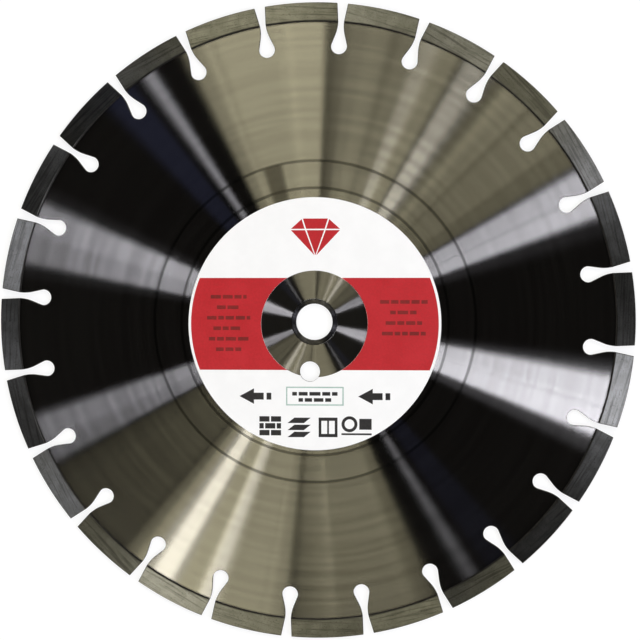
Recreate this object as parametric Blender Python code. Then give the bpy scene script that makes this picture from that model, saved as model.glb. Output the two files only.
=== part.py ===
"""A segmented diamond blade for a cut-off saw.

A ground steel core with keyhole slots in its rim carries sintered diamond segments, one welded to each
land between two slots. A loose bush reduces the arbor hole, a drive pin hole stands beside it, and a
printed ring is stuck to the front face.

The blade lies flat with its axis on Z and its labelled face up. The origin is at the middle of the arbor
hole, halfway through the core, and +Y points to the top of the label. All sizes are in metres.
"""

import math

import bmesh
import bpy
from mathutils import Vector

# Cutting rim
BLADE_DIAMETER = 0.350
SEGMENT_COUNT = 24
SEGMENT_HEIGHT = 0.010
SEGMENT_SIDE_CLEARANCE = 0.0005
WELD_LINE = 0.0001

# Steel core
CORE_THICKNESS = 0.0022
PIN_HOLE_DIAMETER = 0.0111
PIN_HOLE_REACH = 0.0275
PIN_HOLE_SLOT = 17
CORE_TURN = math.radians(9.9)

# Keyhole slots
SLOT_DEPTH = 0.0176
SLOT_NECK_WIDTH = 0.0032
SLOT_NECK_LENGTH = 0.0038
SLOT_END_DIAMETER = 0.0087
SLOT_FLANK_RADIUS = 0.020

# Reducing bush, from the shaft outwards
SHAFT_DIAMETER = 0.020
BUSH_WALL = 0.00265
BUSH_CLEARANCE = 0.00005
BUSH_RECESS = 0.0001
BUSH_CHAMFER = 0.0003

# Front label
LABEL_DIAMETER = 0.1394
LABEL_HOLE_DIAMETER = 0.0588
LABEL_THICKNESS = 0.00015
LABEL_GLUE = 0.00005
LABEL_DROP = 0.0012
LABEL_NOTCH_MARGIN = 0.0006

# Facets along the round stretches
LAND_STEPS = 8
FLANK_STEPS = 4
SLOT_END_STEPS = 18
HOLE_STEPS = 64
LABEL_STEPS = 120
CUTTER_OVERRUN = 0.002
SHARP_ANGLE = math.radians(30)

# What follows from the sizes above
BLADE_RADIUS = BLADE_DIAMETER / 2
CORE_RADIUS = BLADE_RADIUS - SEGMENT_HEIGHT - WELD_LINE
CORE_TOP = CORE_THICKNESS / 2
SEGMENT_TOP = CORE_TOP + SEGMENT_SIDE_CLEARANCE
SEGMENT_PITCH = math.tau / SEGMENT_COUNT
LAND_HALF_ANGLE = SEGMENT_PITCH / 2 - math.asin(SLOT_NECK_WIDTH / 2 / CORE_RADIUS)
SEGMENT_HALF_LENGTH = CORE_RADIUS * math.sin(LAND_HALF_ANGLE)
BUSH_INNER = SHAFT_DIAMETER / 2
BUSH_OUTER = BUSH_INNER + BUSH_WALL
ARBOR_RADIUS = BUSH_OUTER + BUSH_CLEARANCE


def clear_scene():
    for old in list(bpy.data.objects):
        bpy.data.objects.remove(old, do_unlink=True)


def arc(radius, start, end, steps, centre=(0.0, 0.0)):
    """Points along an arc, both ends included."""
    angles = (start + (end - start) * i / steps for i in range(steps + 1))
    return [(centre[0] + radius * math.cos(a), centre[1] + radius * math.sin(a)) for a in angles]


def circle(radius, steps, centre=(0.0, 0.0)):
    return arc(radius, 0.0, math.tau, steps, centre)[:-1]


def turned(points, angle):
    c, s = math.cos(angle), math.sin(angle)
    return [(c * x - s * y, s * x + c * y) for x, y in points]


def mirrored(points):
    """The same run on the other side of the X axis, walked back."""
    return [(x, -y) for x, y in reversed(points)]


def fillet(before, corner, after, radius, steps):
    """The arc that rounds the corner between two straight runs."""
    corner = Vector(corner)
    towards = [(Vector(end) - corner).normalized() for end in (before, after)]
    half_angle = towards[0].angle(towards[1]) / 2
    centre = corner + (towards[0] + towards[1]).normalized() * radius / math.sin(half_angle)
    setback = radius / math.tan(half_angle)
    first, last = (corner + way * setback - centre for way in towards)
    start = math.atan2(first.y, first.x)
    sweep = math.remainder(math.atan2(last.y, last.x) - start, math.tau)
    return arc(radius, start, start + sweep, steps, centre)


def slot_outline():
    """One keyhole slot along +X: in along its lower side, round its end and out again.

    The neck is straight, and its flanks leave it on a soft curve and meet the round end as tangents.
    """
    end_radius = SLOT_END_DIAMETER / 2
    end_centre = CORE_RADIUS - SLOT_DEPTH + end_radius
    half_neck = SLOT_NECK_WIDTH / 2
    mouth = (math.sqrt(CORE_RADIUS**2 - half_neck**2), -half_neck)
    shoulder = (CORE_RADIUS - SLOT_NECK_LENGTH, -half_neck)
    reach = math.hypot(shoulder[0] - end_centre, half_neck)
    tangent = math.atan2(half_neck, shoulder[0] - end_centre) + math.acos(end_radius / reach)
    round_end = arc(end_radius, -tangent, tangent - math.tau, SLOT_END_STEPS, (end_centre, 0.0))
    side = [mouth] + fillet(mouth, shoulder, round_end[0], SLOT_FLANK_RADIUS, FLANK_STEPS)
    return side + round_end + mirrored(side)


def core_outline():
    """The core's edge, counter-clockwise: a slot, then the land up to the next slot, all the way round."""
    points = []
    for i in range(SEGMENT_COUNT):
        slot_angle = i * SEGMENT_PITCH
        land_angle = slot_angle + SEGMENT_PITCH / 2
        land = arc(CORE_RADIUS, land_angle - LAND_HALF_ANGLE, land_angle + LAND_HALF_ANGLE, LAND_STEPS)
        points += turned(slot_outline(), slot_angle) + land[1:-1]
    return points


def segment_outline():
    """A segment across +X, with both long sides round the blade's axis and its two ends parallel."""
    foot_radius = CORE_RADIUS + WELD_LINE
    tip_angle = math.asin(SEGMENT_HALF_LENGTH / BLADE_RADIUS)
    foot_angle = math.asin(SEGMENT_HALF_LENGTH / foot_radius)
    tip = arc(BLADE_RADIUS, -tip_angle, tip_angle, LAND_STEPS)
    foot = arc(foot_radius, foot_angle, -foot_angle, LAND_STEPS)
    return tip + foot


def mesh_from(name, shape):
    bmesh.ops.recalc_face_normals(shape, faces=shape.faces)
    mesh = bpy.data.meshes.new(name)
    shape.to_mesh(mesh)
    shape.free()
    mesh.shade_smooth()
    mesh.set_sharp_from_angle(angle=SHARP_ANGLE)
    return mesh


def extruded(name, loops, bottom, top):
    """A flat plate: the area between its edge and its holes, filled in and pushed up to its thickness."""
    shape = bmesh.new()
    edges = []
    for loop in loops:
        corners = [shape.verts.new((x, y, bottom)) for x, y in loop]
        edges += [shape.edges.new((corners[i - 1], corners[i])) for i in range(len(corners))]
    bmesh.ops.triangle_fill(shape, use_beauty=True, use_dissolve=False, edges=edges)
    raised = bmesh.ops.extrude_face_region(shape, geom=shape.faces[:], use_keep_orig=True)
    lifted = [part for part in raised["geom"] if isinstance(part, bmesh.types.BMVert)]
    bmesh.ops.translate(shape, verts=lifted, vec=(0.0, 0.0, top - bottom))
    return mesh_from(name, shape)


def revolved(name, profile, steps):
    """A ring: the closed profile of radii and heights, spun once round Z."""
    shape = bmesh.new()
    corners = [shape.verts.new((radius, 0.0, height)) for radius, height in profile]
    edges = [shape.edges.new((corners[i - 1], corners[i])) for i in range(len(corners))]
    bmesh.ops.spin(
        shape,
        geom=corners + edges,
        cent=(0.0, 0.0, 0.0),
        axis=(0.0, 0.0, 1.0),
        angle=math.tau,
        steps=steps,
        use_merge=True,
    )
    return mesh_from(name, shape)


def finish(name, colour, roughness, metallic):
    material = bpy.data.materials.new(name)
    material.use_nodes = True
    shader = material.node_tree.nodes["Principled BSDF"]
    shader.inputs["Base Color"].default_value = (*colour, 1.0)
    shader.inputs["Roughness"].default_value = roughness
    shader.inputs["Metallic"].default_value = metallic
    return material


def place(name, mesh, material=None, parent=None):
    piece = bpy.data.objects.new(name, mesh)
    bpy.context.scene.collection.objects.link(piece)
    piece.parent = parent
    if material and not mesh.materials:
        mesh.materials.append(material)
    return piece


def hole_cutter(name, radius, parent):
    """A round bar that passes right through the blade."""
    end = SEGMENT_TOP + CUTTER_OVERRUN
    cutter = place(name, extruded(name, [circle(radius, HOLE_STEPS)], -end, end), parent=parent)
    cutter.hide_render = True
    cutter.display_type = "WIRE"
    return cutter


def cut(piece, cutter):
    boolean = piece.modifiers.new(cutter.name, "BOOLEAN")
    boolean.operation = "DIFFERENCE"
    boolean.solver = "EXACT"
    boolean.object = cutter


def pin_hole_place():
    """The drive pin hole lies on one slot's own radius."""
    return turned([(PIN_HOLE_REACH, 0.0)], PIN_HOLE_SLOT * SEGMENT_PITCH)[0]


def build_core(axis):
    steel = finish("ground_steel", (0.48, 0.47, 0.43), 0.32, 1.0)
    arbor_hole = circle(ARBOR_RADIUS, HOLE_STEPS)
    pin_hole = circle(PIN_HOLE_DIAMETER / 2, HOLE_STEPS, pin_hole_place())
    loops = [core_outline(), arbor_hole, pin_hole]
    place("steel_core", extruded("steel_core", loops, -CORE_TOP, CORE_TOP), steel, axis)


def build_segments(axis):
    """Every segment is the same sintered bar, turned round the axis to its own land."""
    matrix = finish("sintered_diamond_matrix", (0.30, 0.30, 0.26), 0.55, 0.85)
    bar = extruded("segment", [segment_outline()], -SEGMENT_TOP, SEGMENT_TOP)
    for i in range(SEGMENT_COUNT):
        segment = place(f"segment_{i + 1:02d}", bar, matrix, axis)
        segment.rotation_euler.z = (i + 0.5) * SEGMENT_PITCH


def build_bush(axis):
    """A turned ring, broken at its edges, that slips into the arbor hole along the blade's axis."""
    dark_steel = finish("oxidised_steel", (0.16, 0.16, 0.16), 0.42, 1.0)
    top = CORE_TOP - BUSH_RECESS
    shoulder = top - BUSH_CHAMFER
    profile = [
        (BUSH_INNER, -shoulder),
        (BUSH_INNER + BUSH_CHAMFER, -top),
        (BUSH_OUTER - BUSH_CHAMFER, -top),
        (BUSH_OUTER, -shoulder),
        (BUSH_OUTER, shoulder),
        (BUSH_OUTER - BUSH_CHAMFER, top),
        (BUSH_INNER + BUSH_CHAMFER, top),
        (BUSH_INNER, shoulder),
    ]
    place("reducing_bush", revolved("reducing_bush", profile, HOLE_STEPS), dark_steel, axis)


def build_label(axis):
    """The printed ring sits a little low on the core, and is notched clear of the drive pin hole."""
    printed = finish("printed_label", (0.90, 0.90, 0.89), 0.38, 0.0)
    inner, outer = LABEL_HOLE_DIAMETER / 2, LABEL_DIAMETER / 2
    profile = [(inner, 0.0), (outer, 0.0), (outer, LABEL_THICKNESS), (inner, LABEL_THICKNESS)]
    label = place("front_label", revolved("front_label", profile, LABEL_STEPS), printed)
    label.location = (0.0, -LABEL_DROP, CORE_TOP + LABEL_GLUE)
    notch = hole_cutter("label_notch_cutter", PIN_HOLE_DIAMETER / 2 + LABEL_NOTCH_MARGIN, axis)
    notch.location = (*pin_hole_place(), 0.0)
    cut(label, notch)


def main():
    clear_scene()
    axis = place("blade_axis", None)
    axis.rotation_euler.z = CORE_TURN
    build_core(axis)
    build_segments(axis)
    build_bush(axis)
    build_label(axis)


main()
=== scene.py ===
import math
import random

import bmesh
import bpy
from mathutils import Matrix, Vector


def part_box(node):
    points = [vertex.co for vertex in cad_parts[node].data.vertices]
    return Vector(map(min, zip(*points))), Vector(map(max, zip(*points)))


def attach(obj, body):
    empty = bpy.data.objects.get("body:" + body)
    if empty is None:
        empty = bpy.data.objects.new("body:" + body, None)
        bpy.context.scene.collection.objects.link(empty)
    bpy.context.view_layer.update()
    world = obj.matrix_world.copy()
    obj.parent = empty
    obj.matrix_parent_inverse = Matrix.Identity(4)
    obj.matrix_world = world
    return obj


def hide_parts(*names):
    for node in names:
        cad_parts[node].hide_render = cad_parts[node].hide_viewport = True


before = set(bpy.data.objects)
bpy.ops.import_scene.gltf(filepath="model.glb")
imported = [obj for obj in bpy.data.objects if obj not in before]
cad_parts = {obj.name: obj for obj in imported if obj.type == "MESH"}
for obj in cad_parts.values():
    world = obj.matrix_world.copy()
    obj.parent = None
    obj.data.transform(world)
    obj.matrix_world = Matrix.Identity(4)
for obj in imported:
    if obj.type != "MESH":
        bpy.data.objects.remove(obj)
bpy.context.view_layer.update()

# Steel core. One disc of hardened plate, laser cut with keyhole slots round its rim, ground on both faces
# while it turns, and rolled along two rings that keep it flat at speed. A rub mark runs out to the outer
# ring on the front, the saw's flanges have dulled the middle, which is also painted darker as shade, and
# this disc carries every other piece.
SEGMENT_COUNT = 24
SEGMENT_PITCH = math.tau / SEGMENT_COUNT
CORE_TURN = math.radians(9.9)
SLOT_DEPTH = 0.0176
SLOT_NECK_WIDTH = 0.0032
SLOT_NECK_LENGTH = 0.0038
SLOT_END_RADIUS = 0.00435
SLOT_FLANK_RADIUS = 0.020
PIN_HOLE_RADIUS = 0.00555
PIN_HOLE_REACH = 0.0275
PIN_HOLE_ANGLE = CORE_TURN + 17 * SEGMENT_PITCH
PIN_HOLE = (PIN_HOLE_REACH * math.cos(PIN_HOLE_ANGLE), PIN_HOLE_REACH * math.sin(PIN_HOLE_ANGLE))
CORE_EDGE_BREAK = 0.0002
TENSION_RINGS = (0.0886, 0.0737)
TENSION_RING_WIDTH = 0.0011
TENSION_RING_DEPTH = 0.000006
RUB_ANGLE = math.radians(105.2)
RUB_HALF_ANGLE = math.radians(3.3)
RUB_START_RADII = (0.0617, 0.0677)
RUB_END_RADII = (0.0882, 0.0890)
RUB_SHARE = 0.75
RING_GROOVE_SHADE_SHARE = 0.64
HUB_WEAR_AND_SHADE_RADII = (0.034, 0.048)
HUB_SHADE_SHARE = 0.38
FLANGE_DULLING = 0.09
WELD_HEAT_REACH = (0.0016, 0.0003)
WELD_HEAT_SHARE = 0.65
EDGE_SHADE_SHARE = 0.85
FINE_LINES, BROAD_LINES = 3200.0, 260.0
GRINDING_LEAN = 0.0057
STEEL_ROUGHNESS = (0.2135, 0.2235)
STEEL_STRETCH = -0.8743
STEEL_TONES = ((0.241, 0.228, 0.193, 1), (0.258, 0.246, 0.208, 1))
STEEL_LINE_TONE = (0.183, 0.175, 0.147, 1)
STEEL_STAIN_TONE = (0.194, 0.178, 0.145, 1)
RING_GROOVE_SHADE_TONE = (0.044, 0.042, 0.033, 1)
RUB_TONE = (0.033, 0.030, 0.022, 1)
HUB_SHADE_TONE = (0.030, 0.026, 0.020, 1)
WELD_HEAT_TONE = (0.055, 0.050, 0.042, 1)
EDGE_SHADE_TONE = (0.047, 0.044, 0.040, 1)
SLOT_BELT_RADIUS = 0.142
SLOT_END_STEPS = 32
SLOT_FLANK_STEPS = 8
LAND_STEPS = 20
FACE_STEPS = 192
HOLE_STEPS = 96
SHARP_ANGLE = math.radians(30)
RING_SHARP_ANGLE = math.radians(5)


def reach(solid):
    """How near the blade's axis a CAD solid comes, and how far out it goes."""
    radii = [corner.co.xy.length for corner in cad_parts[solid].data.vertices]
    return min(radii), max(radii)


ARBOR_RADIUS, CORE_RADIUS = reach("steel_core")
CORE_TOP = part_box("steel_core")[1].z
LAND_HALF_ANGLE = SEGMENT_PITCH / 2 - math.asin(SLOT_NECK_WIDTH / 2 / CORE_RADIUS)


def arc(radius, start, end, steps, centre=(0.0, 0.0)):
    """Points along an arc, both ends included."""
    angles = (start + (end - start) * i / steps for i in range(steps + 1))
    return [(centre[0] + radius * math.cos(a), centre[1] + radius * math.sin(a)) for a in angles]


def circle(radius, steps, centre=(0.0, 0.0)):
    """Points round a full circle, counter-clockwise."""
    return arc(radius, 0.0, math.tau, steps, centre)[:-1]


def turned(points, angle):
    """The points turned round the blade's axis."""
    c, s = math.cos(angle), math.sin(angle)
    return [(c * x - s * y, s * x + c * y) for x, y in points]


def fillet(before, corner, after, radius, steps):
    """The arc that rounds the corner between two straight runs."""
    corner = Vector(corner)
    towards = [(Vector(end) - corner).normalized() for end in (before, after)]
    half_angle = towards[0].angle(towards[1]) / 2
    centre = corner + (towards[0] + towards[1]).normalized() * radius / math.sin(half_angle)
    setback = radius / math.tan(half_angle)
    first, last = (corner + way * setback - centre for way in towards)
    start = math.atan2(first.y, first.x)
    sweep = math.remainder(math.atan2(last.y, last.x) - start, math.tau)
    return arc(radius, start, start + sweep, steps, centre)


def slot_outline():
    """One keyhole slot along +X: in along its lower side, round its end and out again."""
    end_centre = CORE_RADIUS - SLOT_DEPTH + SLOT_END_RADIUS
    half_neck = SLOT_NECK_WIDTH / 2
    mouth = (math.sqrt(CORE_RADIUS**2 - half_neck**2), -half_neck)
    shoulder = (CORE_RADIUS - SLOT_NECK_LENGTH, -half_neck)
    away = math.hypot(shoulder[0] - end_centre, half_neck)
    tangent = math.atan2(half_neck, shoulder[0] - end_centre) + math.acos(SLOT_END_RADIUS / away)
    round_end = arc(SLOT_END_RADIUS, -tangent, tangent - math.tau, SLOT_END_STEPS, (end_centre, 0.0))
    side = [mouth] + fillet(mouth, shoulder, round_end[0], SLOT_FLANK_RADIUS, SLOT_FLANK_STEPS)
    return side + round_end + [(x, -y) for x, y in reversed(side)]


def core_outline():
    """The core's edge, counter-clockwise: a slot, then the land up to the next slot, all the way round."""
    points = []
    for i in range(SEGMENT_COUNT):
        slot_angle = CORE_TURN + i * SEGMENT_PITCH
        middle = slot_angle + SEGMENT_PITCH / 2
        land = arc(CORE_RADIUS, middle - LAND_HALF_ANGLE, middle + LAND_HALF_ANGLE, LAND_STEPS)
        points += turned(slot_outline(), slot_angle) + land[1:-1]
    return points


def inset(loop, width):
    """The loop drawn in by a width, towards the side on its left, with its corners mitred."""
    moved = []
    for i, point in enumerate(loop):
        here = Vector(point)
        ahead = (Vector(loop[(i + 1) % len(loop)]) - here).normalized()
        behind = (here - Vector(loop[i - 1])).normalized()
        sides = [Vector((-way.y, way.x)) for way in (behind, ahead)]
        mitre = (sides[0] + sides[1]).normalized()
        moved.append(tuple(here + mitre * width / max(mitre.dot(sides[0]), 0.4)))
    return moved


def corners(shape, loop, height):
    """A ring of new corners over a flat loop, all at one height."""
    return [shape.verts.new((x, y, height)) for x, y in loop]


def walls(shape, *rings):
    """Faces between one ring of corners and the next."""
    for lower, upper in zip(rings, rings[1:]):
        for i in range(len(lower)):
            shape.faces.new((lower[i - 1], lower[i], upper[i], upper[i - 1]))


def filled(shape, *rings):
    """A flat face inside the first ring and outside the others."""
    pairs = [(ring[i - 1], ring[i]) for ring in rings for i in range(len(ring))]
    edges = [shape.edges.get(pair) or shape.edges.new(pair) for pair in pairs]
    bmesh.ops.triangle_fill(shape, use_beauty=True, use_dissolve=False, edges=edges)


def mesh_from(name, shape, sharp=SHARP_ANGLE):
    """The finished mesh, smooth except along edges that bend by more than the sharp angle."""
    bmesh.ops.recalc_face_normals(shape, faces=shape.faces)
    mesh = bpy.data.meshes.new(name)
    shape.to_mesh(mesh)
    shape.free()
    mesh.shade_smooth()
    mesh.set_sharp_from_angle(angle=sharp)
    return mesh


def placed(name, mesh, material, body):
    """A finished piece that moves with its body."""
    piece = bpy.data.objects.new(name, mesh)
    bpy.context.scene.collection.objects.link(piece)
    mesh.materials.append(material)
    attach(piece, body)
    return piece


def core_mesh():
    """Both ground faces with their rolled rings, the two holes, and the slotted rim, all edges broken."""
    shape = bmesh.new()
    edge = core_outline()
    holes = [circle(ARBOR_RADIUS, HOLE_STEPS)[::-1], circle(PIN_HOLE_RADIUS, HOLE_STEPS, PIN_HOLE)[::-1]]
    shoulders = []
    for side in (-1, 1):
        face = side * CORE_TOP
        shoulder = face - side * CORE_EDGE_BREAK
        brims = [corners(shape, inset(loop, CORE_EDGE_BREAK), face) for loop in [edge] + holes]
        lips = [corners(shape, loop, shoulder) for loop in [edge] + holes]
        for brim, lip in zip(brims, lips):
            walls(shape, lip, brim)
        shoulders.append(lips)
        rings = [corners(shape, circle(SLOT_BELT_RADIUS, FACE_STEPS), face)]
        for ring in TENSION_RINGS:
            for step, sink in ((1.5, 0), (1, 0), (0, TENSION_RING_DEPTH), (-1, 0), (-1.5, 0)):
                radius = ring + step * TENSION_RING_WIDTH / 2
                rings.append(corners(shape, circle(radius, FACE_STEPS), face - side * sink))
        walls(shape, *rings)
        filled(shape, brims[0], rings[0])
        filled(shape, rings[-1], *brims[1:])
    for back, front in zip(*shoulders):
        walls(shape, back, front)
    return mesh_from("core", shape, RING_SHARP_ANGLE)


def node(tree, kind, inputs=None, **settings):
    """A new shader node with its settings made and each input linked, or given a plain value."""
    made = tree.nodes.new("ShaderNode" + kind)
    for name, value in settings.items():
        setattr(made, name, value)
    for name, value in (inputs or {}).items():
        if isinstance(value, bpy.types.NodeSocket):
            tree.links.new(value, made.inputs[name])
        else:
            made.inputs[name].default_value = value
    return made


def sums(tree, operation, first, second=0.0):
    """One step of arithmetic on two values."""
    return node(tree, "Math", {0: first, 1: second}, operation=operation).outputs[0]


def spread(tree, value, low, high, to_low=0.0, to_high=1.0):
    """A value taken from one range to another, smoothly, and held at the ends."""
    inputs = {"Value": value, "From Min": low, "From Max": high, "To Min": to_low, "To Max": to_high}
    return node(tree, "MapRange", inputs, interpolation_type="SMOOTHSTEP").outputs["Result"]


def mixed(tree, share, first, second):
    """The first colour with a share of the second in it."""
    inputs = {0: share, 6: first, 7: second}
    return node(tree, "Mix", inputs, data_type="RGBA").outputs[2]


def grain(tree, where, scale, detail=3.0, roughness=0.55):
    """Soft random patches, scale of them to a metre."""
    inputs = {"Vector": where, "Scale": scale, "Detail": detail, "Roughness": roughness}
    return node(tree, "TexNoise", inputs).outputs["Fac"]


def new_finish(name):
    """A new material, its node tree and its shader."""
    material = bpy.data.materials.new(name)
    material.use_nodes = True
    return material, material.node_tree, material.node_tree.nodes["Principled BSDF"]


def polar(tree):
    """Where a point is on the blade: its distance from the axis, and the way out from the axis to it."""
    place = node(tree, "NewGeometry").outputs["Position"]
    flat = node(tree, "VectorMath", {0: place, 1: (1.0, 1.0, 0.0)}, operation="MULTIPLY").outputs[0]
    radius = node(tree, "VectorMath", {0: flat}, operation="LENGTH").outputs["Value"]
    outward = node(tree, "VectorMath", {0: flat}, operation="NORMALIZE").outputs[0]
    return place, radius, outward


def round_the_axis(tree, radius, outward, fineness, turns):
    """Coordinates that run fast across the grinding lines and slowly along them."""
    lines = node(tree, "CombineXYZ", {"Z": sums(tree, "MULTIPLY", radius, fineness)}).outputs[0]
    inputs = {0: outward, 1: (turns, turns, turns), 2: lines}
    return node(tree, "VectorMath", inputs, operation="MULTIPLY_ADD").outputs[0]


def near_ring(tree, radius, ring, half_width):
    """1 on a ring round the axis, falling to 0 at half_width from it."""
    away = sums(tree, "ABSOLUTE", sums(tree, "SUBTRACT", radius, ring))
    return spread(tree, away, half_width * 0.4, half_width, 1.0, 0.0)


def on_edges(tree):
    """1 on cut walls and broken edges, 0 on the flat faces: where painted shade darkens the edges."""
    normal = node(tree, "NewGeometry").outputs["True Normal"]
    upright = sums(tree, "ABSOLUTE", node(tree, "SeparateXYZ", {0: normal}).outputs["Z"])
    return spread(tree, upright, 0.6, 0.95, 1.0, 0.0)


def rub_mark(tree, place, radius, outward):
    """How much of the rub mark shows at a point. It is on the front, from the label to the outer ring."""
    aim = (math.cos(RUB_ANGLE), math.sin(RUB_ANGLE), 0.0)
    aside = node(tree, "VectorMath", {0: outward, 1: aim}, operation="DOT_PRODUCT").outputs["Value"]
    edge_of_mark, full_mark = math.cos(RUB_HALF_ANGLE * 1.4), math.cos(RUB_HALF_ANGLE * 0.5)
    across = spread(tree, aside, edge_of_mark, full_mark, 0.0, RUB_SHARE)
    within = spread(tree, radius, *RUB_END_RADII, 1.0, 0.0)
    beyond = spread(tree, radius, *RUB_START_RADII)
    front = sums(tree, "GREATER_THAN", node(tree, "SeparateXYZ", {0: place}).outputs["Z"], 0.0)
    along = sums(tree, "MULTIPLY", within, beyond)
    return sums(tree, "MULTIPLY", sums(tree, "MULTIPLY", across, along), front)


def ground_steel():
    """Every grinding line runs round the axis, so the shine spreads along the radius and hardly across it.
    The shine leans a fraction of a degree along them, which turns each bright fan a little."""
    material, tree, shader = new_finish("ground_steel")
    place, radius, outward = polar(tree)
    fine = grain(tree, round_the_axis(tree, radius, outward, FINE_LINES, 2.0), 1.0, 4.0, 0.6)
    broad = grain(tree, round_the_axis(tree, radius, outward, BROAD_LINES, 1.2), 1.0, 2.0)
    stain = grain(tree, place, 28.0, 4.0)
    tone = mixed(tree, spread(tree, broad, 0.35, 0.65), *STEEL_TONES)
    tone = mixed(tree, spread(tree, fine, 0.5, 0.72, 0.0, 0.2), tone, STEEL_LINE_TONE)
    tone = mixed(tree, spread(tree, stain, 0.56, 0.74, 0.0, 0.15), tone, STEEL_STAIN_TONE)
    # The rolled rings are painted dark along their shallow grooves, as painted shade there.
    for ring in TENSION_RINGS:
        mark = near_ring(tree, radius, ring, TENSION_RING_WIDTH)
        tone = mixed(tree, sums(tree, "MULTIPLY", mark, RING_GROOVE_SHADE_SHARE), tone, RING_GROOVE_SHADE_TONE)
    tone = mixed(tree, rub_mark(tree, place, radius, outward), tone, RUB_TONE)
    # Besides the flanges' dulling, the middle is painted darker here as shade.
    flange_wear_and_hub_shade = spread(tree, radius, *HUB_WEAR_AND_SHADE_RADII, 1.0, 0.0)
    tone = mixed(tree, sums(tree, "MULTIPLY", flange_wear_and_hub_shade, HUB_SHADE_SHARE), tone, HUB_SHADE_TONE)
    heat_start, heat_full = (CORE_RADIUS - reach_in for reach_in in WELD_HEAT_REACH)
    heat = spread(tree, radius, heat_start, heat_full, 0.0, WELD_HEAT_SHARE)
    tone = mixed(tree, heat, tone, WELD_HEAT_TONE)
    # Cut walls and broken edges are painted darker here, as painted shade.
    tone = mixed(tree, sums(tree, "MULTIPLY", on_edges(tree), EDGE_SHADE_SHARE), tone, EDGE_SHADE_TONE)
    relief = node(tree, "Bump", {"Height": fine, "Strength": 0.06, "Distance": 0.00002}).outputs[0]
    lean = node(tree, "VectorMath", {0: outward, 1: (0, 0, GRINDING_LEAN)}, operation="CROSS_PRODUCT")
    facing = node(tree, "VectorMath", {0: relief, 1: lean.outputs[0]}, operation="ADD").outputs[0]
    gloss = spread(tree, broad, 0.3, 0.7, *STEEL_ROUGHNESS)
    inputs = {
        "Color": tone,
        "Roughness": sums(tree, "ADD", gloss, sums(tree, "MULTIPLY", flange_wear_and_hub_shade, FLANGE_DULLING)),
        "Anisotropy": STEEL_STRETCH,
        "Tangent": outward,
        "Normal": node(tree, "VectorMath", {0: facing}, operation="NORMALIZE").outputs[0],
    }
    tree.nodes.remove(shader)
    sheen = node(tree, "BsdfAnisotropic", inputs, distribution="BECKMANN")
    tree.links.new(sheen.outputs[0], tree.nodes["Material Output"].inputs["Surface"])
    return material


core = placed("core", core_mesh(), ground_steel(), "blade")
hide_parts("steel_core")

# Diamond segments. Short curved bars pressed from metal powder and diamond grit and sintered hard, then
# ground on their sides, which leaves them a little thicker than the core. One sits on each land.
SEGMENT_FOOT, BLADE_RADIUS = reach("segment_01")
SEGMENT_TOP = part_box("segment_01")[1].z
SEGMENT_HALF_LENGTH = CORE_RADIUS * math.sin(LAND_HALF_ANGLE)
SEGMENT_EDGE_BREAK = 0.0003
SIDE_GRINDING_SKEW = math.radians(4.5)
SEGMENT_STEPS = 24
MATRIX_ROUGHNESS = (0.372, 0.390)
MATRIX_STRETCH = -0.71
MATRIX_TONES = ((0.202, 0.198, 0.163, 1), (0.266, 0.261, 0.220, 1))
MATRIX_SHADE_TONE = (0.171, 0.166, 0.139, 1)
DRAG_LINE_TONE = (0.085, 0.081, 0.066, 1)
PORE_AND_SHADE_TONE = (0.027, 0.026, 0.022, 1)
GRIT_SPECK_TONE = (0.288, 0.280, 0.207, 1)
OWN_SHADE_SHARE = 0.3
DRAG_LINES, DRAG_STREAKS, BAR_SHIFT = 900.0, 30.0, 9.0
SCORCH_REACH = (0.0001, 0.0008)
SCORCH_SHARE, SEGMENT_EDGE_SHADE_SHARE = 0.55, 0.7


def plate(name, loops, bottom, top, edge_break):
    """A flat plate inside the first loop and outside the others, with its edges broken on both faces."""
    shape = bmesh.new()
    layers = ((edge_break, bottom), (0.0, bottom + edge_break), (0.0, top - edge_break), (edge_break, top))
    rings = [[corners(shape, inset(loop, deep), height) for loop in loops] for deep, height in layers]
    for run in zip(*rings):
        walls(shape, *run)
    filled(shape, *rings[0])
    filled(shape, *rings[-1])
    return mesh_from(name, shape)


def segment_outline():
    """A segment across +X, with both long sides round the blade's axis and its two ends parallel."""
    tip_angle = math.asin(SEGMENT_HALF_LENGTH / BLADE_RADIUS)
    foot_angle = math.asin(SEGMENT_HALF_LENGTH / SEGMENT_FOOT)
    rim = arc(BLADE_RADIUS, -tip_angle, tip_angle, SEGMENT_STEPS)
    return rim + arc(SEGMENT_FOOT, foot_angle, -foot_angle, SEGMENT_STEPS)


def side_grinding(tree, place):
    """The way across the grinding lines of the bar that a point is on, and coordinates that follow them."""
    parts = node(tree, "SeparateXYZ", {0: place}).outputs
    azimuth = sums(tree, "ARCTAN2", parts["Y"], parts["X"])
    bar = sums(tree, "SNAP", sums(tree, "SUBTRACT", azimuth, CORE_TURN), SEGMENT_PITCH)
    aim = sums(tree, "ADD", bar, CORE_TURN + SEGMENT_PITCH / 2 - SIDE_GRINDING_SKEW)
    aim_x, aim_y = sums(tree, "COSINE", aim), sums(tree, "SINE", aim)
    across = node(tree, "CombineXYZ", {"X": aim_x, "Y": aim_y}).outputs[0]
    along = node(tree, "VectorMath", {0: (0, 0, 1), 1: across}, operation="CROSS_PRODUCT").outputs[0]
    steps = [
        node(tree, "VectorMath", {0: place, 1: way}, operation="DOT_PRODUCT").outputs["Value"]
        for way in (across, along)
    ]
    inputs = {
        "X": sums(tree, "MULTIPLY", steps[0], DRAG_LINES),
        "Y": sums(tree, "MULTIPLY", steps[1], DRAG_STREAKS),
        "Z": sums(tree, "MULTIPLY", bar, BAR_SHIFT),
    }
    return across, node(tree, "CombineXYZ", inputs).outputs[0]


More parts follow.
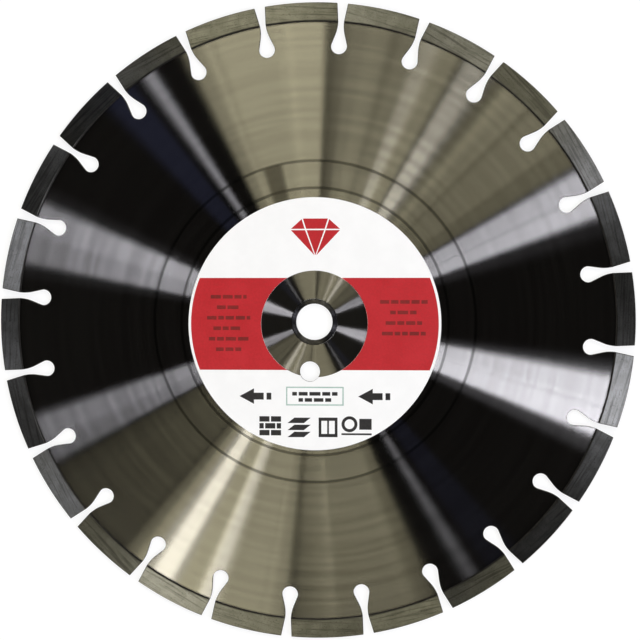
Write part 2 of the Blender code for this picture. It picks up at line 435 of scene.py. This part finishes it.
def sintered_matrix():
    """Side grinding drags dark lines straight along each bar, the weld leaves its foot scorched, and its
    edges carry painted shade.
    """
    material, tree, shader = new_finish("sintered_matrix")
    place, radius = polar(tree)[:2]
    across, lines = side_grinding(tree, place)
    drag = grain(tree, lines, 1.0, 4.0, 0.6)
    cloud = grain(tree, place, 160.0, 3.0)
    grit = node(tree, "TexVoronoi", {"Vector": place, "Scale": 2600.0}).outputs["Distance"]
    pores = grain(tree, place, 2200.0, 2.0)
    own = node(tree, "ObjectInfo").outputs["Random"]
    tone = mixed(tree, spread(tree, cloud, 0.35, 0.68), *MATRIX_TONES)
    tone = mixed(tree, sums(tree, "MULTIPLY", own, OWN_SHADE_SHARE), tone, MATRIX_SHADE_TONE)
    tone = mixed(tree, spread(tree, drag, 0.46, 0.66, 0.0, 0.7), tone, DRAG_LINE_TONE)
    tone = mixed(tree, spread(tree, pores, 0.58, 0.70, 0.0, 0.7), tone, PORE_AND_SHADE_TONE)
    tone = mixed(tree, spread(tree, grit, 0.14, 0.26, 0.5, 0.0), tone, GRIT_SPECK_TONE)
    scorch_full, scorch_end = (SEGMENT_FOOT + reach_out for reach_out in SCORCH_REACH)
    scorch_and_edge_shade = spread(tree, radius, scorch_full, scorch_end, SCORCH_SHARE, 0.0)
    # The bar's broken edges and ends are painted darker, as painted shade.
    edge_shade = sums(tree, "MULTIPLY", on_edges(tree), SEGMENT_EDGE_SHADE_SHARE)
    scorch_and_edge_shade = sums(tree, "MAXIMUM", scorch_and_edge_shade, edge_shade)
    tone = mixed(tree, scorch_and_edge_shade, tone, PORE_AND_SHADE_TONE)
    height = sums(tree, "ADD", sums(tree, "MULTIPLY", pores, -0.6), sums(tree, "MULTIPLY", drag, 0.5))
    inputs = {
        "Color": tone,
        "Roughness": spread(tree, cloud, 0.3, 0.7, *MATRIX_ROUGHNESS),
        "Anisotropy": MATRIX_STRETCH,
        "Tangent": across,
        "Normal": node(tree, "Bump", {"Height": height, "Strength": 0.2, "Distance": 0.00004}).outputs[0],
    }
    tree.nodes.remove(shader)
    sheen = node(tree, "BsdfAnisotropic", inputs)
    tree.links.new(sheen.outputs[0], tree.nodes["Material Output"].inputs["Surface"])
    return material


matrix_finish = sintered_matrix()
for i in range(SEGMENT_COUNT):
    middle = CORE_TURN + (i + 0.5) * SEGMENT_PITCH
    name = f"segment_bar_{i + 1:02d}"
    bar = plate(name, [turned(segment_outline(), middle)], -SEGMENT_TOP, SEGMENT_TOP, SEGMENT_EDGE_BREAK)
    segment = placed(name, bar, matrix_finish, "blade")
    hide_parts(f"segment_{i + 1:02d}")

# Diamond grit. Crystals of industrial diamond, yellow-green and a few tenths of a millimetre across, that
# the grinding has bared on the rim and sides of the segments. The sintered metal holds them by their roots.
CRYSTALS_PER_SEGMENT = 90
CRYSTAL_SIZES = (0.00009, 0.00020)
CRYSTAL_MARGIN = 0.0006
RIM_MARGIN = 0.0004
RIM_SINK, SIDE_SINK = 0.55, 0.7
CRYSTAL_SHARP_ANGLE = math.radians(20)
DIAMOND_TONES = ((0.20, 0.19, 0.10, 1), (0.42, 0.42, 0.30, 1))
DIAMOND_IOR = 2.4


def crystal(shape, place, size, draw):
    """An eight-sided crystal with blunt tips, turned at random."""
    tips = [Vector(v) for v in ((1, 0, 0), (0, 1, 0), (-1, 0, 0), (0, -1, 0), (0, 0, 1), (0, 0, -1))]
    turn = Vector((draw.gauss(0, 1), draw.gauss(0, 1), draw.gauss(0, 1))).to_track_quat("Z", "Y")
    made = [shape.verts.new(place + turn @ tip * size * draw.uniform(0.8, 1.1)) for tip in tips]
    for i in range(4):
        shape.faces.new((made[i], made[(i + 1) % 4], made[4]))
        shape.faces.new((made[(i + 1) % 4], made[i], made[5]))


def grit_mesh():
    """Half of the crystals stand in the rim, and the others in the sides of their segment."""
    draw = random.Random(24)
    shape = bmesh.new()
    half_span = SEGMENT_HALF_LENGTH - CRYSTAL_MARGIN
    for i in range(SEGMENT_COUNT):
        middle = CORE_TURN + (i + 0.5) * SEGMENT_PITCH
        for _ in range(CRYSTALS_PER_SEGMENT):
            size = draw.uniform(*CRYSTAL_SIZES)
            along = draw.uniform(-half_span, half_span)
            if draw.random() < 0.5:
                out = math.sqrt((BLADE_RADIUS - size * RIM_SINK) ** 2 - along**2)
                up = draw.uniform(-1, 1) * (SEGMENT_TOP - RIM_MARGIN)
            else:
                far = draw.uniform(SEGMENT_FOOT + 2 * CRYSTAL_MARGIN, BLADE_RADIUS - CRYSTAL_MARGIN)
                out = math.sqrt(far**2 - along**2)
                up = draw.choice((-1, 1)) * (SEGMENT_TOP - size * SIDE_SINK)
            x, y = turned([(out, along)], middle)[0]
            crystal(shape, Vector((x, y, up)), size, draw)
    return mesh_from("diamond_grit", shape, CRYSTAL_SHARP_ANGLE)


def diamond():
    """Each crystal has its own shade between olive and straw."""
    material, tree, shader = new_finish("diamond_grit")
    place = node(tree, "NewGeometry").outputs["Position"]
    lumps = node(tree, "TexVoronoi", {"Vector": place, "Scale": 900.0}).outputs["Color"]
    hue = node(tree, "SeparateColor", {0: lumps}).outputs[0]
    tone = mixed(tree, hue, *DIAMOND_TONES)
    tree.links.new(tone, shader.inputs["Base Color"])
    tree.links.new(spread(tree, hue, 0.0, 1.0, 0.18, 0.34), shader.inputs["Roughness"])
    shader.inputs["IOR"].default_value = DIAMOND_IOR
    return material


placed("diamond_grit", grit_mesh(), diamond(), "blade")

# Weld seams. A laser melts the foot of each segment and the edge of its land together, and leaves a narrow
# dark rippled bead along the step between them on either face.
WELD_FOOT = 0.0006
WELD_RISE = 0.00036
WELD_ROOT = 0.00035
WELD_LAP = 0.00016
WELD_TOE_SINK = 0.00004
WELD_RIPPLE = 0.0009
WELD_SPAN = 0.992
RIPPLE_SWELL, RIPPLE_JITTER = 0.12, 0.06
WELD_SHARP_ANGLE = math.radians(50)
WELD_TONES = ((0.010, 0.009, 0.008, 1), (0.028, 0.026, 0.023, 1))
WELD_TINT = (0.02, 0.014, 0.011, 1)


def weld_mesh(name, side):
    """The beads of all segments on one face, four rings of corners to a ripple, tapered at both ends."""
    shape = bmesh.new()
    draw = random.Random(7 + side)
    steps = int(2 * SEGMENT_HALF_LENGTH / WELD_RIPPLE) * 4
    for i in range(SEGMENT_COUNT):
        middle = CORE_TURN + (i + 0.5) * SEGMENT_PITCH
        rings = []
        for k in range(steps + 1):
            angle = middle + LAND_HALF_ANGLE * (2 * k / steps - 1) * WELD_SPAN
            swell = 1.0 + RIPPLE_SWELL * math.sin(math.tau * k / 4 + 0.6)
            swell += draw.uniform(-RIPPLE_JITTER, RIPPLE_JITTER)
            swell *= min(1.0, 0.45 + 0.2 * min(k, steps - k))
            profile = (
                (-WELD_FOOT * swell, -WELD_TOE_SINK),
                (-WELD_FOOT * 0.55 * swell, WELD_RISE * 0.34 * swell),
                (-WELD_FOOT * 0.12 * swell, WELD_RISE * 0.78 * swell),
                (WELD_LAP, WELD_RISE * swell),
                (WELD_LAP, -WELD_ROOT),
                (-WELD_FOOT * 0.5, -WELD_ROOT * 0.6),
            )
            c, s = math.cos(angle), math.sin(angle)
            rings.append(
                [
                    shape.verts.new(((CORE_RADIUS + r) * c, (CORE_RADIUS + r) * s, side * (CORE_TOP + h)))
                    for r, h in profile
                ]
            )
        walls(shape, *rings)
        shape.faces.new(rings[0])
        shape.faces.new(rings[-1])
    return mesh_from(name, shape, WELD_SHARP_ANGLE)


def weld_metal():
    """Scale from the heat, nearly black, with a trace of brown."""
    material, tree, shader = new_finish("weld_metal")
    place = node(tree, "NewGeometry").outputs["Position"]
    scale = grain(tree, place, 900.0, 3.0)
    tint = grain(tree, place, 120.0, 2.0)
    tone = mixed(tree, spread(tree, scale, 0.35, 0.7), *WELD_TONES)
    tone = mixed(tree, spread(tree, tint, 0.5, 0.7, 0.0, 0.4), tone, WELD_TINT)
    tree.links.new(tone, shader.inputs["Base Color"])
    tree.links.new(spread(tree, scale, 0.3, 0.7, 0.6, 0.8), shader.inputs["Roughness"])
    shader.inputs["Metallic"].default_value = 0.3
    shader.inputs["Specular IOR Level"].default_value = 0.1
    relief = node(tree, "Bump", {"Height": scale, "Strength": 0.3, "Distance": 0.00003})
    tree.links.new(relief.outputs[0], shader.inputs["Normal"])
    return material


weld_finish = weld_metal()
for name, side in (("weld_seams_front", 1), ("weld_seams_back", -1)):
    placed(name, weld_mesh(name, side), weld_finish, "blade")

# Reducing bush. A turned steel ring, oxidised dark, that slips into the arbor hole so that the blade fits a
# smaller shaft. Its edges are broken, and nothing but its fit holds it in.
BUSH_INNER, BUSH_OUTER = reach("reducing_bush")
BUSH_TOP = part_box("reducing_bush")[1].z
BUSH_EDGE_BREAK = 0.0003
BUSH_GROOVE_DEPTH = 0.00006
BUSH_GROOVE_HALF_WIDTH = 0.00012
BUSH_GROOVE_PLACES = (0.28, 0.5, 0.72)
BUSH_SHARP_ANGLE = math.radians(20)
TURNING_LINES = 4200.0
BUSH_TONES = ((0.045, 0.043, 0.041, 1), (0.09, 0.086, 0.08, 1))
BUSH_LINE_TONE = (0.025, 0.025, 0.024, 1)


def bush_mesh():
    """The ring's profile of radii and heights, with three fine turning grooves on each face."""
    shoulder = BUSH_TOP - BUSH_EDGE_BREAK
    face_in, face_out = BUSH_INNER + BUSH_EDGE_BREAK, BUSH_OUTER - BUSH_EDGE_BREAK
    face = [(face_in, BUSH_TOP)]
    for share in BUSH_GROOVE_PLACES:
        groove = face_in + (face_out - face_in) * share
        face.append((groove - BUSH_GROOVE_HALF_WIDTH, BUSH_TOP))
        face.append((groove, BUSH_TOP - BUSH_GROOVE_DEPTH))
        face.append((groove + BUSH_GROOVE_HALF_WIDTH, BUSH_TOP))
    face.append((face_out, BUSH_TOP))
    upper = [(BUSH_INNER, shoulder)] + face + [(BUSH_OUTER, shoulder)]
    profile = upper + [(radius, -height) for radius, height in reversed(upper)]
    shape = bmesh.new()
    rings = [corners(shape, circle(radius, HOLE_STEPS), height) for radius, height in profile]
    walls(shape, *rings, rings[0])
    return mesh_from("bush", shape, BUSH_SHARP_ANGLE)


def oxidised_steel():
    """A thin dark oxide, worn lighter in patches, over fine turning lines."""
    material, tree, shader = new_finish("oxidised_steel")
    place, radius, outward = polar(tree)
    lines = grain(tree, round_the_axis(tree, radius, outward, TURNING_LINES, 1.5), 1.0, 3.0)
    wear = grain(tree, place, 420.0, 4.0)
    tone = mixed(tree, spread(tree, wear, 0.42, 0.72), *BUSH_TONES)
    tone = mixed(tree, spread(tree, lines, 0.5, 0.75, 0.0, 0.4), tone, BUSH_LINE_TONE)
    tree.links.new(tone, shader.inputs["Base Color"])
    tree.links.new(spread(tree, wear, 0.3, 0.7, 0.36, 0.46), shader.inputs["Roughness"])
    tree.links.new(outward, shader.inputs["Tangent"])
    shader.inputs["Metallic"].default_value = 1.0
    shader.inputs["Anisotropic"].default_value = 0.9
    relief = node(tree, "Bump", {"Height": lines, "Strength": 0.15, "Distance": 0.00002})
    tree.links.new(relief.outputs[0], shader.inputs["Normal"])
    return material


bush = placed("bush", bush_mesh(), oxidised_steel(), "bush")
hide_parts("reducing_bush")

# Front label. A ring of white satin film, die cut with a notch that clears the drive pin hole, and stuck to
# the front face a little low of the middle.
LABEL_RADIUS = 0.0697
LABEL_HOLE_RADIUS = 0.0294
LABEL_NOTCH_RADIUS = PIN_HOLE_RADIUS + 0.00005
LABEL_CENTRE = (0.0, -0.0012)
LABEL_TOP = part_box("front_label")[1].z
LABEL_EDGE_BREAK = 0.00003
LABEL_STEPS = 240
LABEL_HOLE_STEPS = 180
LABEL_NOTCH_STEPS = 32
FILM_TONES = ((0.93, 0.93, 0.925, 1), (0.955, 0.955, 0.95, 1))
FILM_FIBRE_TONE = (0.87, 0.87, 0.86, 1)


def hole_with_notch():
    """The label's hole and its notch as one loop, clockwise."""
    middle, notch = Vector(LABEL_CENTRE), Vector(PIN_HOLE)
    big, small = LABEL_HOLE_RADIUS, LABEL_NOTCH_RADIUS
    away = (notch - middle).length
    aim = math.atan2(notch.y - middle.y, notch.x - middle.x)
    big_half = math.acos((big**2 + away**2 - small**2) / (2 * big * away))
    small_half = math.pi - math.acos((small**2 + away**2 - big**2) / (2 * small * away))
    hole = arc(big, aim - big_half, aim + big_half - math.tau, LABEL_HOLE_STEPS, LABEL_CENTRE)
    bite = arc(small, aim + small_half, aim - small_half, LABEL_NOTCH_STEPS, PIN_HOLE)
    return hole + bite[1:-1]


def white_film():
    """White film, faintly mottled, with the fibres of its backing showing through."""
    material, tree, shader = new_finish("white_film")
    place = node(tree, "NewGeometry").outputs["Position"]
    fibre = grain(tree, place, 1400.0, 3.0)
    mottle = grain(tree, place, 90.0, 3.0)
    tone = mixed(tree, spread(tree, mottle, 0.35, 0.7), *FILM_TONES)
    tone = mixed(tree, spread(tree, fibre, 0.6, 0.8, 0.0, 0.25), tone, FILM_FIBRE_TONE)
    tree.links.new(tone, shader.inputs["Base Color"])
    tree.links.new(spread(tree, fibre, 0.3, 0.7, 0.42, 0.52), shader.inputs["Roughness"])
    relief = node(tree, "Bump", {"Height": fibre, "Strength": 0.06, "Distance": 0.00002})
    tree.links.new(relief.outputs[0], shader.inputs["Normal"])
    return material


film_loops = [circle(LABEL_RADIUS, LABEL_STEPS, LABEL_CENTRE), hole_with_notch()]
film_mesh = plate("label_film", film_loops, CORE_TOP, LABEL_TOP, LABEL_EDGE_BREAK)
film = placed("label_film", film_mesh, white_film(), "blade")
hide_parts("front_label")

# Label print. Opaque inks screened on the film: a red band on either side of the hole with rows of short
# dashes, a cut stone above, and running arrows, a frame and signs for materials below. The dashes are a
# second coat on the band. Places and sizes of the print are in millimetres from the label's middle.
INK_THICKNESS = 0.00002
MM = 0.001
ROUND_STEPS = 40
BAND_HALF_HEIGHT = 25.4
BAND_RADII = (29.45, 68.3)
STONE_LINE_HALF_WIDTH = 0.38
DASH_LENGTHS = (2.4, 6.2)
DASH_HEIGHT = 2.0
DASH_SPACE = 1.0
SHORTEST_DASH = 1.6
ROW_SPACING = 5.8


def label_loop(points):
    """Points in millimetres from the label's middle, put where the label is."""
    return [(LABEL_CENTRE[0] + x * MM, LABEL_CENTRE[1] + y * MM) for x, y in points]


def ink_mesh(name, patches, bed):
    """Thin patches of ink on a bed of film or of other ink, each a loop or a loop and its holes."""
    shape = bmesh.new()
    for loops in patches:
        rings = [
            [corners(shape, loop, bed + height) for loop in loops]
            for height in (-INK_THICKNESS / 4, INK_THICKNESS)
        ]
        for run in zip(*rings):
            walls(shape, *run)
        filled(shape, *rings[0])
        filled(shape, *rings[-1])
    return mesh_from(name, shape)


def ink_finish(name, thin, full):
    """Ink of one colour, a little thinner here and there, with the fine grain of the screen."""
    material, tree, shader = new_finish(name)
    place = node(tree, "NewGeometry").outputs["Position"]
    screen = grain(tree, place, 700.0, 3.0)
    patchy = grain(tree, place, 60.0, 3.0)
    share = sums(tree, "ADD", sums(tree, "MULTIPLY", screen, 0.5), sums(tree, "MULTIPLY", patchy, 0.5))
    tone = mixed(tree, spread(tree, share, 0.38, 0.62), (*thin, 1), (*full, 1))
    tree.links.new(tone, shader.inputs["Base Color"])
    tree.links.new(spread(tree, screen, 0.3, 0.7, 0.36, 0.46), shader.inputs["Roughness"])
    relief = node(tree, "Bump", {"Height": screen, "Strength": 0.05, "Distance": 0.00001})
    tree.links.new(relief.outputs[0], shader.inputs["Normal"])
    return material


def box_patch(left, low, right, high):
    """A plain rectangle."""
    return [label_loop([(left, low), (right, low), (right, high), (left, high)])]


def ring_patch(x, y, radius, hole):
    """A flat ring."""
    outer, inner = (circle(size, ROUND_STEPS, (x, y)) for size in (radius, hole))
    return [label_loop(outer), label_loop(inner[::-1])]


def band_patch(side):
    """One half of the red band, from the hole's edge nearly to the label's edge."""
    inner, outer = BAND_RADII
    facing = 0.0 if side > 0 else math.pi
    out_angle, in_angle = math.asin(BAND_HALF_HEIGHT / outer), math.asin(BAND_HALF_HEIGHT / inner)
    loop = arc(outer, facing - out_angle, facing + out_angle, ROUND_STEPS)
    loop += arc(inner, facing + in_angle, facing - in_angle, ROUND_STEPS)
    return [label_loop(loop)]


def stone_patches(x, y):
    """A cut stone seen from the side, its facets parted by thin lines of bare film."""
    table = [(-7.4, 9.4), (7.4, 9.4)]
    girdle = [(-14.4, 3.0), (-5.4, 3.0), (5.4, 3.0), (14.4, 3.0)]
    culet = (0.0, -12.0)
    facets = [
        (girdle[0], girdle[1], table[0]),
        (girdle[1], girdle[2], table[1], table[0]),
        (girdle[2], girdle[3], table[1]),
        (culet, girdle[1], girdle[0]),
        (culet, girdle[2], girdle[1]),
        (culet, girdle[3], girdle[2]),
    ]
    drawn_in = [inset(facet, STONE_LINE_HALF_WIDTH) for facet in facets]
    return [[label_loop([(x + a, y + b) for a, b in facet])] for facet in drawn_in]


def arrow_patches(x, y):
    """A running arrow that points to the left from x, with a short block behind its tail."""
    half_head, half_shaft = 4.3, 1.9
    head = [(0.0, 0.0), (8.0, -half_head), (8.0, -half_shaft)]
    outline = head + [(13.4, -half_shaft), (13.4, half_shaft)] + [(a, -b) for a, b in reversed(head[1:])]
    arrow = [label_loop([(x + a, y + b) for a, b in outline])]
    return [arrow, box_patch(x + 15.0, y - half_shaft, x + 17.6, y + half_shaft)]


def brick_patches(x, y):
    """Three courses of bricks in bond."""
    patches = []
    for row, starts in enumerate(((-6.0, 0.4), (-6.0, -2.8, 3.6), (-6.0, 0.4))):
        ends = [start - 0.8 for start in starts[1:]] + [6.0]
        low = y - 5.4 + row * 3.8
        patches += [box_patch(x + a, low, x + b, low + 3.0) for a, b in zip(starts, ends)]
    return patches


def paver_patches(x, y):
    """Three paving slabs stacked on each other, seen from a corner."""
    slab = [(-6.4, -1.6), (2.6, -1.6), (6.4, 1.4), (-2.6, 1.4)]
    return [[label_loop([(x + a, y + b + lift) for a, b in slab])] for lift in (-3.9, 0.0, 3.9)]


def block_patches(x, y):
    """A hollow concrete block, seen from the end."""
    outer = label_loop([(x - 5.2, y - 5.4), (x + 5.2, y - 5.4), (x + 5.2, y + 5.4), (x - 5.2, y + 5.4)])
    cells = [
        label_loop([(x + a, y - 3.6), (x + a, y + 3.6), (x + a + 3.2, y + 3.6), (x + a + 3.2, y - 3.6)])
        for a in (-3.7, 0.5)
    ]
    return [[outer] + cells]


def pipe_patches(x, y):
    """A pipe's end beside a length of pipe, on a bed."""
    pipe = [ring_patch(x - 4.2, y + 0.6, 4.4, 2.7), box_patch(x + 1.2, y - 2.4, x + 8.0, y + 3.6)]
    return pipe + [box_patch(x - 8.6, y - 5.4, x + 8.0, y - 4.4)]


def dash_patches(middle, length, y, draw):
    """One row of short dashes about a middle, each as long as it is drawn."""
    patches = []
    at, end = middle - length / 2, middle + length / 2
    while at < end - SHORTEST_DASH:
        dash = min(draw.uniform(*DASH_LENGTHS), end - at)
        patches.append(box_patch(at, y, at + dash, y + DASH_HEIGHT))
        at += dash + DASH_SPACE
    return patches


red_ink = ink_finish("red_ink", (0.52, 0.019, 0.026), (0.46, 0.013, 0.018))
dark_ink = ink_finish("dark_ink", (0.24, 0.016, 0.014), (0.17, 0.012, 0.010))
black_ink = ink_finish("black_ink", (0.028, 0.026, 0.025), (0.014, 0.013, 0.013))
green_ink = ink_finish("green_ink", (0.42, 0.56, 0.50), (0.34, 0.49, 0.43))
draw = random.Random(350)
# Each row of dashes has its middle, its length and its lower edge.
left_lengths, right_lengths = (20, 13, 24, 17, 22, 14), (26, 15, 20, 24)
band_rows = [(-47.4, length, 14.0 - ROW_SPACING * row) for row, length in enumerate(left_lengths)]
band_rows += [(49.2, length, 11.2 - ROW_SPACING * row) for row, length in enumerate(right_lengths)]
frame_rows = [(0.3, 25.0, -39.5), (0.3, 18.0, -42.9)]
frame_outer = label_loop([(-15.6, -45.0), (16.2, -45.0), (16.2, -34.6), (-15.6, -34.6)])
frame_inner = label_loop([(-14.9, -44.3), (-14.9, -35.3), (15.5, -35.3), (15.5, -44.3)])
# Each print has its ink, its patches and the number of coats of ink under it.
prints = {
    "print_red": (red_ink, [band_patch(-1), band_patch(1)] + stone_patches(0.6, 49.0), 0),
    "print_dashes": (dark_ink, [dash for row in band_rows for dash in dash_patches(*row, draw)], 1),
    "print_signs": (
        black_ink,
        arrow_patches(-41.4, -39.9)
        + arrow_patches(24.2, -39.9)
        + [dash for row in frame_rows for dash in dash_patches(*row, draw)]
        + brick_patches(-24.4, -56.2)
        + paver_patches(-8.4, -57.0)
        + block_patches(7.6, -57.0)
        + pipe_patches(23.6, -55.8),
        0,
    ),
    "print_frame": (green_ink, [[frame_outer, frame_inner]], 0),
}
for name, (ink, patches, coats) in prints.items():
    bed = LABEL_TOP + coats * INK_THICKNESS
    placed(name, ink_mesh(name, patches, bed), ink, "blade")

# Camera. It looks nearly straight down on the blade from a little right of and above its middle, and its
# shift brings the blade to the middle of the picture.
CAMERA_DISTANCE = 0.70
CAMERA_PITCH, CAMERA_YAW = math.radians(1.35), math.radians(-2.95)
camera_data = bpy.data.cameras.new("camera")
camera_data.sensor_width = 36.0
camera_data.lens = 71.37
camera_data.shift_x = 0.0087
camera_data.shift_y = 0.0028
camera = bpy.data.objects.new("camera", camera_data)
bpy.context.scene.collection.objects.link(camera)
sin_p, cos_p = math.sin(CAMERA_PITCH), math.cos(CAMERA_PITCH)
sin_y, cos_y = math.sin(CAMERA_YAW), math.cos(CAMERA_YAW)
back = Vector((-cos_p * sin_y, sin_p, cos_p * cos_y))
camera.location = back * CAMERA_DISTANCE
right = Vector((cos_y, 0.0, sin_y))
up = back.cross(right)
camera.rotation_euler = Matrix((right, up, back)).transposed().to_euler()
bpy.context.scene.camera = camera

# Strip lamps. Tall soft lamps stand in a ring round the blade and look down on it at 45 degrees. The ground
# steel takes each one as a bright fan, so a lamp is listed by its fan: the fan's azimuth and the lamp's
# width in degrees, then the lamp's radiance and colour.
LAMP_DISTANCE = 3.0
LAMP_ELEVATION = math.radians(45)
LAMP_HEIGHT = 2 * LAMP_DISTANCE * math.tan(math.radians(13))
LAMP_DIMMER = 0.97
KHAKI, NEUTRAL = (1.0, 0.965, 0.76), (1.0, 0.985, 0.95)
COOL, BLUE = (0.94, 0.97, 1.22), (0.62, 0.78, 1.95)
LAMPS = (
    (22.0, 4.8, 11.0, COOL),
    (26.8, 4.8, 9.7, COOL),
    (32.2, 4.0, 2.2, KHAKI),
    (39.2, 10.0, 3.1, KHAKI),
    (47.4, 6.4, 3.3, KHAKI),
    (62.4, 4.4, 1.8, KHAKI),
    (68.8, 8.0, 1.8, KHAKI),
    (79.6, 12.0, 2.2, KHAKI),
    (91.0, 8.4, 6.6, KHAKI),
    (102.4, 14.4, 5.8, KHAKI),
    (112.2, 5.2, 3.7, KHAKI),
    (122.8, 2.2, 4.2, COOL),
    (129.6, 6.0, 0.21, BLUE),
    (158.2, 4.0, 0.77, COOL),
    (200.8, 5.0, 0.67, COOL),
    (231.0, 2.6, 1.9, KHAKI),
    (233.4, 2.2, 4.3, KHAKI),
    (235.5, 2.0, 5.2, NEUTRAL),
    (238.5, 4.0, 17.2, NEUTRAL),
    (244.4, 5.2, 5.7, KHAKI),
    (248.1, 3.2, 10.1, NEUTRAL),
    (254.6, 9.0, 4.2, KHAKI),
    (261.5, 4.2, 3.1, KHAKI),
    (280.6, 22.0, 0.86, KHAKI),
    (335.4, 2.8, 0.48, COOL),
    (340.2, 5.8, 18.2, COOL),
    (346.1, 6.1, 15.7, COOL),
    (350.6, 2.8, 0.48, COOL),
)
for number, (azimuth, width, radiance, colour) in enumerate(LAMPS):
    lamp = bpy.data.lights.new(f"strip_lamp_{number}", "AREA")
    lamp.shape = "RECTANGLE"
    lamp.size = 2 * LAMP_DISTANCE * math.cos(LAMP_ELEVATION) * math.tan(math.radians(width / 2))
    lamp.size_y = LAMP_HEIGHT
    lamp.energy = math.pi * lamp.size * lamp.size_y * radiance * LAMP_DIMMER
    lamp.color = colour
    stand = bpy.data.objects.new(lamp.name, lamp)
    angle = math.radians(azimuth)
    outward = Vector((math.cos(angle), math.sin(angle), 0.0))
    sideways = Vector((-math.sin(angle), math.cos(angle), 0.0))
    upright = Vector((0.0, 0.0, math.cos(LAMP_ELEVATION))) - outward * math.sin(LAMP_ELEVATION)
    # The lamp stands as far to one side as the camera does to the other, so its fan falls at that azimuth.
    aside = -camera.location.dot(sideways) / CAMERA_DISTANCE
    towards = outward * math.cos(LAMP_ELEVATION) + Vector((0.0, 0.0, math.sin(LAMP_ELEVATION)))
    towards = (towards + sideways * aside).normalized()
    across = upright.cross(towards).normalized()
    stand.location = towards * LAMP_DISTANCE
    stand.rotation_euler = Matrix((across, upright, towards)).transposed().to_euler()
    stand.visible_camera = False
    bpy.context.scene.collection.objects.link(stand)

# Table. A wide round top of white laminate, on which the blade lies by the tips of its bared crystals.
# It is plain, so that it shows the outline of the blade and the light through the slots and holes.
TABLE_RADIUS = 8.0
TABLE_STEPS = 64
TABLE_TOP = -SEGMENT_TOP - CRYSTAL_SIZES[1] / 2
TABLE_TONES = ((0.19, 0.19, 0.19, 1), (0.21, 0.21, 0.21, 1))
TABLE_GLOW = (0.82, 0.97)
LAMPLIT_RADII = (0.9, 2.6)


def table_top():
    """White laminate that keeps the blade's shadow and shows as plain white in a picture and in metal. Its
    glow makes up for what the lamps leave, which is more beyond their ring."""
    material, tree, shader = new_finish("table_top")
    place, radius = polar(tree)[:2]
    tone = mixed(tree, grain(tree, place, 40.0), *TABLE_TONES)
    tree.links.new(tone, shader.inputs["Base Color"])
    shader.inputs["Roughness"].default_value = 0.9
    shader.inputs["Specular IOR Level"].default_value = 0.0
    shader.inputs["Emission Color"].default_value = (1.0, 1.0, 1.0, 1.0)
    path = node(tree, "LightPath").outputs
    seen = sums(tree, "MAXIMUM", path["Is Camera Ray"], path["Is Glossy Ray"])
    seen = sums(tree, "MAXIMUM", seen, path["Is Transmission Ray"])
    glow = spread(tree, radius, *LAMPLIT_RADII, *TABLE_GLOW)
    tree.links.new(sums(tree, "MULTIPLY", seen, glow), shader.inputs["Emission Strength"])
    # The glow reaches no other surface as light, so it isn't picked from among the lamps.
    material.cycles.emission_sampling = "NONE"
    return material


shape = bmesh.new()
filled(shape, corners(shape, circle(TABLE_RADIUS, TABLE_STEPS), TABLE_TOP))
table = bpy.data.objects.new("table", mesh_from("table", shape))
table.data.materials.append(table_top())
bpy.context.scene.collection.objects.link(table)

# Room. Pale walls up to a little over the table, a grey haze above them, and a dark ceiling, so that the
# ground steel shows black between the fans.
WALL_TONE, HAZE_TONE, CEILING_TONE = (0.98, 0.98, 0.98, 1), (0.25, 0.25, 0.25, 1), (0.012, 0.011, 0.012, 1)
WALL_TOP, HAZE_TOP = (0.14, 0.24), (0.36, 0.52)
world = bpy.data.worlds.new("studio_room")
bpy.context.scene.world = world
world.use_nodes = True
# The room is even enough to be found without being aimed at, which leaves that to the lamps.
world.cycles.sampling_method = "NONE"
room = world.node_tree
toward = node(room, "TexCoord").outputs["Generated"]
height = node(room, "SeparateXYZ", {0: toward}).outputs["Z"]
wall = mixed(room, spread(room, height, *WALL_TOP), WALL_TONE, HAZE_TONE)
wall = mixed(room, spread(room, height, *HAZE_TOP), wall, CEILING_TONE)
room.links.new(wall, room.nodes["Background"].inputs["Color"])

bpy.context.scene.view_settings.view_transform = "Standard"
